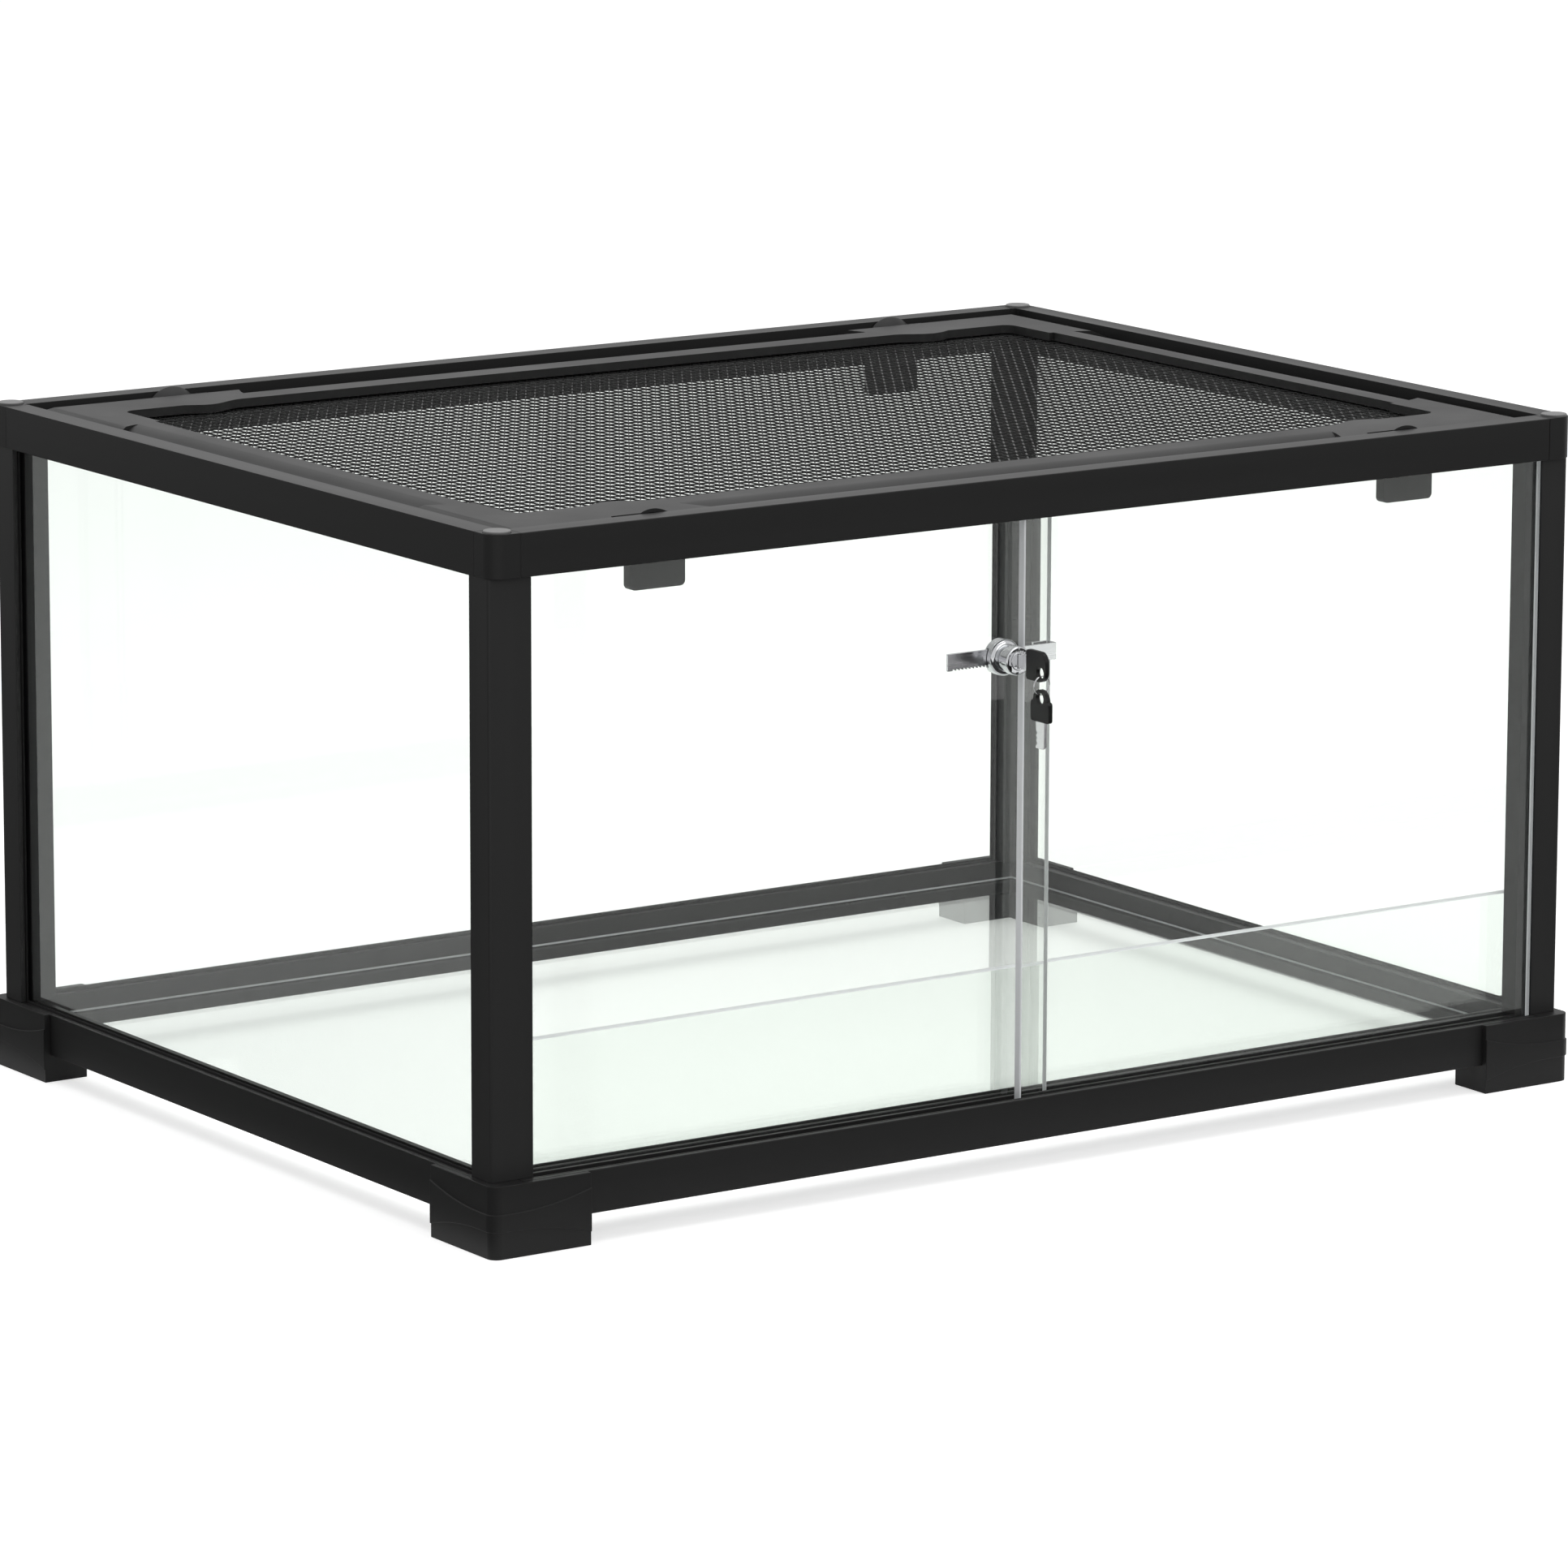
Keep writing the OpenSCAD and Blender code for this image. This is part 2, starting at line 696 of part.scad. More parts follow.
module gasket(length, across_x) {
    lip = pane_bite + gasket_lip;
    gap = across_x ? [length - 2 * lip, 2 * groove_w, pane_h - 2 * lip]
                   : [2 * groove_w, length - 2 * lip, pane_h - 2 * lip];
    difference() {
        gasket_block(length, across_x);
        translate([-gap[0] / 2, -gap[1] / 2, pane_z + lip]) cube(gap);
        pane(length, across_x);
    }
}

// Room that the gaskets of the back and right panes need in the corner mouldings
module glass_seats() {
    translate([side_pane_x, 0, 0]) gasket_block(side_pane_len, false);
    translate([0, back_pane_y, 0]) gasket_block(back_pane_len, true);
}

// Double door track: section in Y from the front face, and Z from its floor
module track_section(height, floor_t) {
    difference() {
        translate([track_front, 0]) square([track_d, height]);
        for (inset = [door_inset, inner_inset])
            translate([inset - door_play, floor_t]) square([slot_w, height]);
    }
}

// Door: a pane from one height to another; inset from the front face
module door(from_x, to_x, inset) {
    translate([from_x, inset - half_d, door_z]) cube([to_x - from_x, door_t, door_h]);
}

// Screen frame: corner pads at crest level, and hollowed sides that slope down to the rails
module hollow_section(crest) {
    turn_u = crest - crest_r * sin(crest_slope);
    turn_z = frame_top - crest_r * (1 - cos(crest_slope));
    rim_u = frame_side - cut;
    rim_z = turn_z - (turn_u - rim_u) * tan(crest_slope);
    difference() {
        polygon([[rim_u, frame_top + cut], [crest, frame_top + cut], [crest, frame_top],
                 [turn_u, turn_z], [rim_u, rim_z]]);
        translate([crest, frame_top - crest_r]) circle(crest_r, $fn = 96);
    }
}

// Plan of a hollow: its ends follow an S between the rim and the crest
module hollow_plan(half_len, crest) {
    steps = 10;
    t = [for (i = [0 : steps]) i / steps];
    rim = frame_side - cut;
    right = [for (i = [0 : steps])
        [half_len - pad_slant * (1 - t[i] * t[i] * (3 - 2 * t[i])), rim + t[i] * (crest - rim)]];
    left = [for (i = [steps : -1 : 0]) [-right[i][0], right[i][1]]];
    polygon(concat(right, left));
}

module hollow(half_len, crest) {
    intersection() {
        along_x(2 * half_len) hollow_section(crest);
        linear_extrude(cage_h + cut) hollow_plan(half_len, crest);
    }
}

module hollows() {
    for (turn = [0, 180]) {
        rotate(turn) translate([0, -half_d, 0]) hollow(half_w - pad_front, crest_front);
        rotate(turn + 90) translate([0, -half_w, 0]) hollow(half_d - pad_side, crest_side);
    }
}

// Plan of the screen frame: pads that reach into the mesh opening, and wider places behind the clips
module window_plan() {
    round_window(2 * (window_x - pad_step), 2 * (window_y - pad_step), window_r);
    square([2 * window_x, 2 * (window_y - pad_in_side)], center = true);
    square([2 * (window_x - pad_in_front), 2 * window_y], center = true);
}

module bulge_plan() {
    steps = 16;
    edge = [for (i = [0 : steps])
        [bulge_shift + bulge_half * (2 * i / steps - 1),
         window_front + bulge * (1 - cos(360 * i / steps)) / 2]];
    polygon(concat([[bulge_shift - bulge_half, crest_front]], edge, [[bulge_shift + bulge_half, crest_front]]));
}

module frame_plan() {
    difference() {
        square([cage_w - 2 * frame_side, cage_d - 2 * frame_side], center = true);
        difference() {
            window_plan();
            at_clips() bulge_plan();
        }
    }
}

// Puts a front clip at its place: side_x chooses left or right, back turns it round
module at_clip(side_x, back) {
    rotate(back ? 180 : 0) translate([side_x * clip_x, -half_d, 0]) children();
}

module at_clips() {
    for (side_x = [-1, 1])
        for (back = [false, true])
            at_clip(side_x, back) children();
}

// Slide of a clip: a slit right through beside the hood, and a T-shaped groove for the block's runners
module clip_slide() {
    slit_back = plate_back + clip_travel + clip_clear;
    slant = plate_slant / (plate_back - hood_inset);
    left = plate_left + clip_clear + slant * clip_travel;
    right = plate_right + clip_clear;
    depth = block_back + clip_travel + clip_clear;
    side = wing_w + clip_clear;
    translate([0, 0, frame_z - cut]) {
        linear_extrude(cage_h)
            polygon([[-left - slant * hood_inset, 0], [right, 0], [right, slit_back],
                     [slant * (slit_back - hood_inset) - left, slit_back]]);
        translate([block_x - clip_clear, 0, 0])
            cube([block_w + 2 * clip_clear, depth, web_top + clip_roof - frame_z + cut]);
    }
    translate([block_x - side, 0, web_z - clip_roof]) cube([block_w + 2 * side, depth, web_t + 2 * clip_roof]);
}

// Finger clip: hood, foot plate, web with runners, and the block that hangs inside the rail
module hood() {
    intersection() {
        translate([0, hood_inset - hood_set, hood_z]) difference() {
            sphere(hood_ball);
            sphere(hood_ball - hood_wall);
        }
        translate([-hood_r, hood_inset, plate_top - plate_rim]) cube([2 * hood_r, hood_ball, hood_ball]);
    }
}

module hanging_block() {
    low = top_z - block_reach;
    translate([block_shift, block_inset + block_t / 2, 0]) along_y(block_t) {
        translate([-block_w / 2, low + block_r]) square([block_w, web_top - low - block_r]);
        translate([block_r - block_w / 2, low]) square([block_w - 2 * block_r, block_r]);
        for (side = [-1, 1])
            translate([side * (block_w / 2 - block_r), low + block_r]) circle(block_r);
    }
}

module clip() {
    hood();
    translate([0, 0, web_z]) {
        linear_extrude(plate_top - web_z)
            polygon([[-plate_left, hood_inset], [plate_right, hood_inset], [plate_right, plate_back],
                     [plate_slant - plate_left, plate_back]]);
        translate([block_x, hood_inset, 0]) cube([plate_right - block_x, block_back - hood_inset, web_t]);
        translate([block_x - wing_w, block_inset, 0]) cube([block_w + 2 * wing_w, block_t, web_t]);
    }
    hanging_block();
}

// Mesh: one layer of straight wires in a woven edge, leaning to the right (1) or to the left (-1)
module wire_layer(side) {
    clear_x = mesh_x - mesh_hem;
    clear_y = mesh_y - mesh_hem;
    count = ceil((clear_x + clear_y * cell_w / cell_d) / cell_w);
    linear_extrude(wire_t) difference() {
        square([2 * mesh_x, 2 * mesh_y], center = true);
        intersection() {
            square([2 * clear_x, 2 * clear_y], center = true);
            rotate(-side * wire_lean) for (i = [-count : count - 1])
                translate([(i + 0.5) * wire_pitch, 0])
                    square([wire_pitch - wire_t, 2 * (mesh_x + mesh_y)], center = true);
        }
    }
}

// Four strips that clamp the edge of the mesh from below
module strips() {
    for (side = [-1, 1]) {
        translate([-mesh_x, side > 0 ? window_y : -mesh_y, 0]) cube([2 * mesh_x, mesh_lap, strip_t]);
        translate([side > 0 ? window_x : -mesh_x, strip_gap - window_y, 0])
            cube([mesh_lap, 2 * (window_y - strip_gap), strip_t]);
    }
}

// Ratchet bar: flat strip between the doors, hooked round the edge of the left door, with teeth below
module bar_plan() {
    left = left_door_edge - bar_len;
    front = bar_back - bar_t - half_d;
    rear = inner_inset + door_t + bar_t - half_d;
    translate([left, front]) square([bar_len + bar_t, bar_t]);
    translate([left_door_edge, front]) square([bar_t, rear - front]);
    translate([left_door_edge - hook_len, rear - bar_t]) square([hook_len + bar_t, bar_t]);
}

module bar_teeth() {
    count = floor((bar_len - hook_len - 2 * tooth_margin) / tooth_pitch);
    low = lock_z - bar_h / 2;
    ramp = tooth_pitch - tooth_flat;
    translate([left_door_edge - bar_len + tooth_margin, bar_back - half_d, 0]) along_y(4 * bar_t)
        for (i = [0 : count - 1])
            translate([i * tooth_pitch, low])
                polygon([[0, -cut], [0, tooth_h], [ramp, 0], [ramp, -cut]]);
}

// Turns a revolved shape so that it points out of the front of the lock
module at_lock() translate([lock_x, drum_back_y, lock_z]) rotate([90, 0, 0]) children();

module drum_section() {
    soft = 1;
    square([drum_r, drum_step - collar_r]);
    square([drum_r - collar_r, drum_step]);
    translate([drum_r - collar_r, drum_step - collar_r]) circle(collar_r);
    square([waist_r, drum_len]);
    translate([0, drum_len - nose_len]) square([nose_r, nose_len - soft]);
    translate([0, drum_len - nose_len]) square([nose_r - soft, nose_len]);
    translate([nose_r - soft, drum_len - soft]) circle(soft);
}

// Key, drawn in X and Y with its blade along -X and the middle of its inner head edge at the origin
module head_plan() {
    translate([head_len / 2, 0]) {
        intersection() {
            round_window(head_len, head_w, head_r);
            translate([-head_len, -head_w]) square([head_len, 2 * head_w]);
        }
        intersection() {
            round_window(head_len, head_w, head_end_r);
            translate([0, -head_w]) square([head_len, 2 * head_w]);
        }
    }
}

// The spare key's head narrows to a round tab
module tabbed_plan() {
    translate([tab_start / 2, 0]) round_window(tab_start, head_w, head_r);
    translate([head_len - tab_r, 0]) circle(tab_r);
}

module blade_plan() {
    difference() {
        translate([-blade_len, -blade_w / 2]) square([blade_len + blade_seat, blade_w]);
        for (i = [1 : 3])
            translate([i * nick_pitch - blade_len, -blade_w / 2]) circle(nick_h, $fn = 4);
        translate([-blade_len, blade_w / 2]) circle(nick_h, $fn = 4);
    }
}

module blade_slot() {
    translate([-cut, -blade_w / 2 - blade_fit, -blade_t / 2 - blade_fit])
        cube([blade_seat + blade_fit + cut, blade_w + 2 * blade_fit, blade_t + 2 * blade_fit]);
}

module base_corner_fl() { color(black_plastic) in_frame() at_corner(-1, -1) base_corner(); }
module base_corner_fr() { color(black_plastic) in_frame() at_corner(1, -1) base_corner(); }
module base_corner_bl() { color(black_plastic) in_frame() at_corner(-1, 1) base_corner(); }
module base_corner_br() { color(black_plastic) in_frame() at_corner(1, 1) base_corner(); }

module base_rail_front() {
    color(black_metal) in_frame() difference() {
        translate([0, -half_d, 0]) along_x(2 * rail_end_x) sill_section();
        sockets(base_tenon_z);
    }
}

module base_rail_back() {
    color(black_metal) in_frame() difference() {
        translate([0, half_d, 0]) along_x(2 * rail_end_x) rail_section(back_inset, rail_t);
        sockets(base_tenon_z);
    }
}

module base_rail_left() { color(black_metal) in_frame() at_corner(-1, 1) base_rail_side(); }
module base_rail_right() { color(black_metal) in_frame() base_rail_side(); }

module post_fl() {
    color(black_metal) in_frame() at_corner(-1, -1)
        door_post(inner_inset - door_play, inner_inset + door_t + door_play);
}

module post_fr() {
    color(black_metal) in_frame() at_corner(1, -1) door_post(-cut, door_inset + door_t + door_play);
}

module post_bl() { color(black_metal) in_frame() at_corner(-1, 1) post(true); }
module post_br() { color(black_metal) in_frame() post(true); }

module top_rail_front() {
    color(black_metal) in_frame() difference() {
        along_front() over_track() top_section();
        sockets(top_tenon_z);
    }
}

module top_rail_back() {
    color(black_metal) in_frame() difference() {
        along_back() over_pane(back_inset) top_section();
        sockets(top_tenon_z);
    }
}

module top_rail_left() { color(black_metal) in_frame() at_corner(-1, 1) top_rail_side(); }
module top_rail_right() { color(black_metal) in_frame() top_rail_side(); }

module screen_ledge_front() { color(black_plastic) in_frame() along_front() over_track() ledge_section(); }
module screen_ledge_back() {
    color(black_plastic) in_frame() along_back() over_pane(back_inset) ledge_section();
}
module screen_ledge_left() { color(black_plastic) in_frame() at_corner(-1, 1) ledge_side(); }
module screen_ledge_right() { color(black_plastic) in_frame() ledge_side(); }

module top_corner_fl() { color(black_plastic) in_frame() at_corner(-1, -1) top_corner(); }
module top_corner_fr() { color(black_plastic) in_frame() at_corner(1, -1) top_corner(); }
module top_corner_bl() { color(black_plastic) in_frame() at_corner(-1, 1) top_corner(); }
module top_corner_br() { color(black_plastic) in_frame() at_corner(1, 1) top_corner(); }

module corner_caps() { color(cap_grey) in_frame() at_screws(cage_h + cap_rise - cap_t) corner_cap(); }

module corner_screws() {
    under_cap = cage_h + cap_rise - cap_t;
    color(steel) in_frame() at_screws(under_cap) mirror([0, 0, 1]) screw(under_cap - top_z + screw_grip);
}

module foot_screws() {
    color(steel) in_frame() at_screws(foot_screw_sink) screw(base_top - foot_screw_sink + screw_grip);
}

module glass_left() {
    color(clear_glass) in_frame() translate([-side_pane_x, 0, 0]) pane(side_pane_len, false);
}
module glass_right() {
    color(clear_glass) in_frame() translate([side_pane_x, 0, 0]) pane(side_pane_len, false);
}
module glass_back() { color(clear_glass) in_frame() translate([0, back_pane_y, 0]) pane(back_pane_len, true); }
module gasket_left() { color(rubber) in_frame() translate([-side_pane_x, 0, 0]) gasket(side_pane_len, false); }
module gasket_right() { color(rubber) in_frame() translate([side_pane_x, 0, 0]) gasket(side_pane_len, false); }
module gasket_back() { color(rubber) in_frame() translate([0, back_pane_y, 0]) gasket(back_pane_len, true); }

module floor_panel() {
    front = ledge_inset + pane_fit - half_d;
    side = half_w - corner_core - pane_fit;
    back = half_d - corner_core - pane_fit;
    color(clear_glass) in_frame() translate([-side, front, floor_z]) cube([2 * side, back - front, glass_t]);
}

module front_barrier() {
    side = rail_end_x - pane_fit;
    color(clear_glass) in_frame() translate([-side, barrier_inset - half_d, pane_z])
        cube([2 * side, glass_t, barrier_top - pane_z]);
}

module lower_door_track() {
    color(black_plastic) in_frame() translate([0, -half_d, base_top - track_h])
        along_x(2 * rail_end_x) track_section(track_h, track_h - bite_low - door_clear);
}

module upper_door_track() {
    color(black_plastic) in_frame() translate([0, -half_d, top_z + upper_track_h]) mirror([0, 0, 1])
        along_x(2 * rail_end_x) track_section(upper_track_h, track_floor);
}

module door_left() { color(clear_glass) in_frame() door(-door_far_x, left_door_edge, inner_inset); }
module door_right() { color(clear_glass) in_frame() door(right_door_edge, door_far_x, door_inset); }

module screen_frame() {
    color(screen_grey) in_frame() difference() {
        translate([0, 0, frame_z]) linear_extrude(frame_top - frame_z) frame_plan();
        hollows();
        translate([-mesh_x, -mesh_y, frame_z - cut]) cube([2 * mesh_x, 2 * mesh_y, mesh_top - frame_z + cut]);
        at_clips() clip_slide();
    }
}

module mesh_right_wires() {
    color(black_metal) in_frame() translate([0, 0, mesh_top - wire_t]) wire_layer(1);
}
module mesh_left_wires() {
    color(black_metal) in_frame() translate([0, 0, mesh_top - 2 * wire_t]) wire_layer(-1);
}

module mesh_strips() {
    color(black_plastic) in_frame() translate([0, 0, mesh_top - 2 * wire_t - strip_t]) strips();
}

module screen_clip_fl() { color(screen_grey) in_frame() at_clip(-1, false) clip(); }
module screen_clip_fr() { color(screen_grey) in_frame() at_clip(1, false) clip(); }
module screen_clip_bl() { color(screen_grey) in_frame() at_clip(1, true) clip(); }
module screen_clip_br() { color(screen_grey) in_frame() at_clip(-1, true) clip(); }

module lock_bar() {
    color(steel) in_frame() difference() {
        translate([0, 0, lock_z - bar_h / 2]) linear_extrude(bar_h) bar_plan();
        bar_teeth();
    }
}

module lock_body() {
    slot_h = bar_h + 2 * bar_clear;
    color(steel) in_frame() difference() {
        at_lock() rotate_extrude() drum_section();
        at_lock() translate([0, 0, drum_len - plug_depth])
            cylinder(r = plug_r + plug_fit, h = plug_depth + cut);
        translate([lock_x - 2 * drum_r, bar_back - bar_t - bar_clear - half_d, lock_z - slot_h / 2])
            cube([4 * drum_r, bar_t + 2 * bar_clear, slot_h]);
    }
}

module lock_plug() {
    color(steel) in_frame() difference() {
        at_lock() translate([0, 0, drum_len - plug_depth + plug_proud]) cylinder(r = plug_r, h = plug_depth);
        translate([lock_x - blade_t / 2 - blade_fit, nose_y - cut, lock_z - blade_w / 2 - blade_fit])
            cube([blade_t + 2 * blade_fit, blade_len - head_gap + blade_fit + cut, blade_w + 2 * blade_fit]);
    }
}

module key_blade() {
    color(steel) in_frame() translate([lock_x, head_y, lock_z]) rotate([0, -90, 0]) rotate(-90)
        linear_extrude(blade_t, center = true) blade_plan();
}

module key_head() {
    hole_drop = head_w / 2 - hole_web - hole_r;
    color(black_plastic) in_frame() translate([lock_x, head_y, lock_z]) rotate([0, -90, 0]) rotate(-90)
        difference() {
            linear_extrude(head_t, center = true) difference() {
                head_plan();
                translate([head_y - hole_y, -hole_drop]) circle(hole_r);
            }
            blade_slot();
        }
}

module key_ring() {
    color(steel) in_frame() translate([lock_x, hole_y, ring_z]) rotate([90, 0, 0])
        rotate_extrude() translate([ring_r, 0]) circle(ring_wire, $fn = 24);
}

module spare_key_blade() {
    color(steel) in_frame() translate([lock_x, hole_y, spare_top - head_len]) rotate([90, -90, 90])
        linear_extrude(blade_t, center = true) blade_plan();
}

module spare_key_head() {
    color(black_plastic) in_frame() translate([lock_x, hole_y, spare_top - head_len]) rotate([90, -90, 90])
        difference() {
            linear_extrude(head_t, center = true) difference() {
                tabbed_plan();
                translate([head_len - hole_web - hole_r, 0]) circle(hole_r);
            }
            blade_slot();
        }
}

base_corner_fl();
base_corner_fr();
base_corner_bl();
base_corner_br();
base_rail_front();
base_rail_back();
base_rail_left();
base_rail_right();
post_fl();
post_fr();
post_bl();
post_br();
top_rail_front();
top_rail_back();
top_rail_left();
top_rail_right();
screen_ledge_front();
screen_ledge_back();
screen_ledge_left();
screen_ledge_right();
top_corner_fl();
top_corner_fr();
top_corner_bl();
top_corner_br();
corner_caps();
corner_screws();
foot_screws();
glass_left();
glass_right();
glass_back();
floor_panel();
front_barrier();
gasket_left();
gasket_right();
gasket_back();
lower_door_track();
upper_door_track();
door_left();
door_right();
screen_frame();
mesh_right_wires();
mesh_left_wires();
mesh_strips();
screen_clip_fl();
screen_clip_fr();
screen_clip_bl();
screen_clip_br();
lock_bar();
lock_body();
lock_plug();
key_blade();
key_head();
key_ring();
spare_key_blade();
spare_key_head();
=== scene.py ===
"""Looks of a front-opening glass enclosure with a lift-off mesh screen. Metres, +Z up, front towards -Y."""
import json
import math

import bmesh
import bpy
from mathutils import Matrix, Vector


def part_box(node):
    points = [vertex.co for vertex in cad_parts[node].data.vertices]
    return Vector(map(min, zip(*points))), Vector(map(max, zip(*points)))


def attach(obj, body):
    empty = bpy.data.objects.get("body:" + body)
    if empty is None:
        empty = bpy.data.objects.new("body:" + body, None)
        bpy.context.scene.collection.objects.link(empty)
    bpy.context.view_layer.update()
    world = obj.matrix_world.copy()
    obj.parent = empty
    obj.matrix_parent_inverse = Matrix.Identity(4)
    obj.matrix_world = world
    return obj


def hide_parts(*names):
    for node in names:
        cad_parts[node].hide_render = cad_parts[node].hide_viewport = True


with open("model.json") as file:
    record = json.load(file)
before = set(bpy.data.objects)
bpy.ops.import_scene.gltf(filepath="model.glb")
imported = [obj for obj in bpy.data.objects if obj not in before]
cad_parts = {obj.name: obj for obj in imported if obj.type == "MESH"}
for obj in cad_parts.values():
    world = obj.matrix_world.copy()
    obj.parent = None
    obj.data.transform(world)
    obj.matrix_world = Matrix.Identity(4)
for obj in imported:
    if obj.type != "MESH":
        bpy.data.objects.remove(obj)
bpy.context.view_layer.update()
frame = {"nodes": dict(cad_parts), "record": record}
scene = bpy.context.scene
scene.view_settings.view_transform = "Standard"

# Viewpoint. A long lens to the left of the front and a little above the top rails, as the picture
# was taken. The place, turn, tilt and roll are those at which the rails fall on the picture's.
viewpoint_data = bpy.data.cameras.new("viewpoint")
viewpoint_data.sensor_width = 36
viewpoint_data.lens = 187.6
viewpoint_data.clip_end = 60
viewpoint = bpy.data.objects.new("viewpoint", viewpoint_data)
scene.collection.objects.link(viewpoint)
view_turn = math.radians(-34.382)
view_tilt = math.radians(11.548)
view_roll = Matrix.Rotation(math.radians(0.166), 3, "Z")
view_right = Vector((math.cos(view_turn), math.sin(view_turn), 0))
view_back = Vector((math.sin(view_turn) * math.cos(view_tilt), -math.cos(view_turn) * math.cos(view_tilt),
                    math.sin(view_tilt)))
view_up = view_back.cross(view_right)
view_axes = Matrix((view_right, view_up, view_back)).transposed() @ view_roll
view_place = Vector((-2.1784, -3.175425, 0.9312))
viewpoint.matrix_world = Matrix.Translation(view_place) @ view_axes.to_4x4()
scene.camera = viewpoint

# Studio. A white table top that keeps a soft shadow, a white surround, a softbox overhead and one in front.
# Dark cards lie beside and before the object, out of sight, so that black surfaces and glass mirror less
# white. A gap between those in front is what the lock mirrors.


def seen_directly(tree):
    """One for rays from the eye, from a mirror or through glass, and nought for rays that light a surface."""
    path = tree.nodes.new("ShaderNodeLightPath")
    first = tree.nodes.new("ShaderNodeMath")
    first.operation = "MAXIMUM"
    tree.links.new(path.outputs["Is Camera Ray"], first.inputs[0])
    tree.links.new(path.outputs["Is Glossy Ray"], first.inputs[1])
    both = tree.nodes.new("ShaderNodeMath")
    both.operation = "MAXIMUM"
    tree.links.new(first.outputs[0], both.inputs[0])
    tree.links.new(path.outputs["Is Transmission Ray"], both.inputs[1])
    return both.outputs[0]


def flat_sheet(name, left, right, near, far, height):
    mesh = bpy.data.meshes.new(name)
    corners = [(left, near, height), (right, near, height), (right, far, height), (left, far, height)]
    mesh.from_pydata(corners, [], [(0, 1, 2, 3)])
    sheet = bpy.data.objects.new(name, mesh)
    scene.collection.objects.link(sheet)
    return sheet


table_reach = 9
table_top = flat_sheet("table_top", -table_reach, table_reach, -table_reach, table_reach, 0)
table_white = bpy.data.materials.new("table_white")
table_white.use_nodes = True
table_tree = table_white.node_tree
table_tree.nodes.clear()
table_paint = table_tree.nodes.new("ShaderNodeBsdfDiffuse")
table_paint.inputs["Color"].default_value = (0.78, 0.78, 0.78, 1)
table_lift = table_tree.nodes.new("ShaderNodeEmission")
table_share = table_tree.nodes.new("ShaderNodeMath")
table_share.operation = "MULTIPLY"
table_share.inputs[1].default_value = 0.62
table_tree.links.new(seen_directly(table_tree), table_share.inputs[0])
table_tree.links.new(table_share.outputs[0], table_lift.inputs["Strength"])
table_sum = table_tree.nodes.new("ShaderNodeAddShader")
table_out = table_tree.nodes.new("ShaderNodeOutputMaterial")
table_tree.links.new(table_paint.outputs[0], table_sum.inputs[0])
table_tree.links.new(table_lift.outputs[0], table_sum.inputs[1])
table_tree.links.new(table_sum.outputs[0], table_out.inputs["Surface"])
table_top.data.materials.append(table_white)


card_tone = 0.06
card_height = 0.0008


def mirror_card(name, left, right, near, far):
    """A card that only mirrors see: it neither lights nor shades the object or the table."""
    card = flat_sheet(name, left, right, near, far, card_height)
    card.visible_camera = False
    card.visible_diffuse = False
    card.visible_transmission = False
    card.visible_shadow = False
    paper = bpy.data.materials.new(name)
    paper.use_nodes = True
    shader = paper.node_tree.nodes["Principled BSDF"]
    shader.inputs["Base Color"].default_value = (card_tone, card_tone, card_tone, 1)
    shader.inputs["Specular IOR Level"].default_value = 0
    card.data.materials.append(paper)


front_left = -0.4
front_right = 2.2
gap_left = 0.5
gap_right = 0.82
gap_near = -1.28
gap_far = -1.12
mirror_card("left_card", left=-2.6, right=-0.32, near=-0.6, far=2.4)
mirror_card("near_card", left=front_left, right=front_right, near=gap_far, far=-0.26)
mirror_card("far_card", left=front_left, right=front_right, near=-2.6, far=gap_near)
mirror_card("middle_card", left=gap_right, right=front_right, near=gap_near, far=gap_far)
mirror_card("end_card", left=front_left, right=gap_left, near=gap_near, far=gap_far)

surround = bpy.data.worlds.new("surround")
scene.world = surround
surround.use_nodes = True
surround_tree = surround.node_tree
surround_tree.nodes.clear()
surround_light = surround_tree.nodes.new("ShaderNodeBackground")
surround_light.inputs["Color"].default_value = (1, 1, 1, 1)
surround_light.inputs["Strength"].default_value = 0.5
surround_white = surround_tree.nodes.new("ShaderNodeBackground")
surround_white.inputs["Color"].default_value = (1, 1, 1, 1)
surround_white.inputs["Strength"].default_value = 1
surround_mix = surround_tree.nodes.new("ShaderNodeMixShader")
surround_out = surround_tree.nodes.new("ShaderNodeOutputWorld")
surround_tree.links.new(seen_directly(surround_tree), surround_mix.inputs["Fac"])
surround_tree.links.new(surround_light.outputs[0], surround_mix.inputs[1])
surround_tree.links.new(surround_white.outputs[0], surround_mix.inputs[2])
surround_tree.links.new(surround_mix.outputs[0], surround_out.inputs["Surface"])


def softbox(name, place, aim, width, height, watts):
    lamp = bpy.data.lights.new(name, "AREA")
    lamp.shape = "RECTANGLE"
    lamp.size = width
    lamp.size_y = height
    lamp.energy = watts
    holder = bpy.data.objects.new(name, lamp)
    holder.location = place
    holder.rotation_euler = (Vector(aim) - Vector(place)).to_track_quat("-Z", "Y").to_euler()
    scene.collection.objects.link(holder)


softbox("overhead_softbox", place=(0.1, 0.2, 2.3), aim=(0, 0, 0.2), width=2.6, height=2.2, watts=34)
softbox("front_softbox", place=(0.6, -2.6, 1.5), aim=(0, 0, 0.15), width=1.8, height=1.4, watts=16)

# Base corners. Four injection-moulded black feet that wrap the ends of two rails and stand on the table.
# Their satin skin has the fine spark grain of the mould, and a raised band opens towards each end.
# Each is held to its post by a screw from below.
corner_names = ("fl", "fr", "bl", "br")
node_body = {}
for body_name, body_nodes in frame["record"]["behaviour"]["bodies"].items():
    for body_node in body_nodes:
        node_body[body_node] = body_name


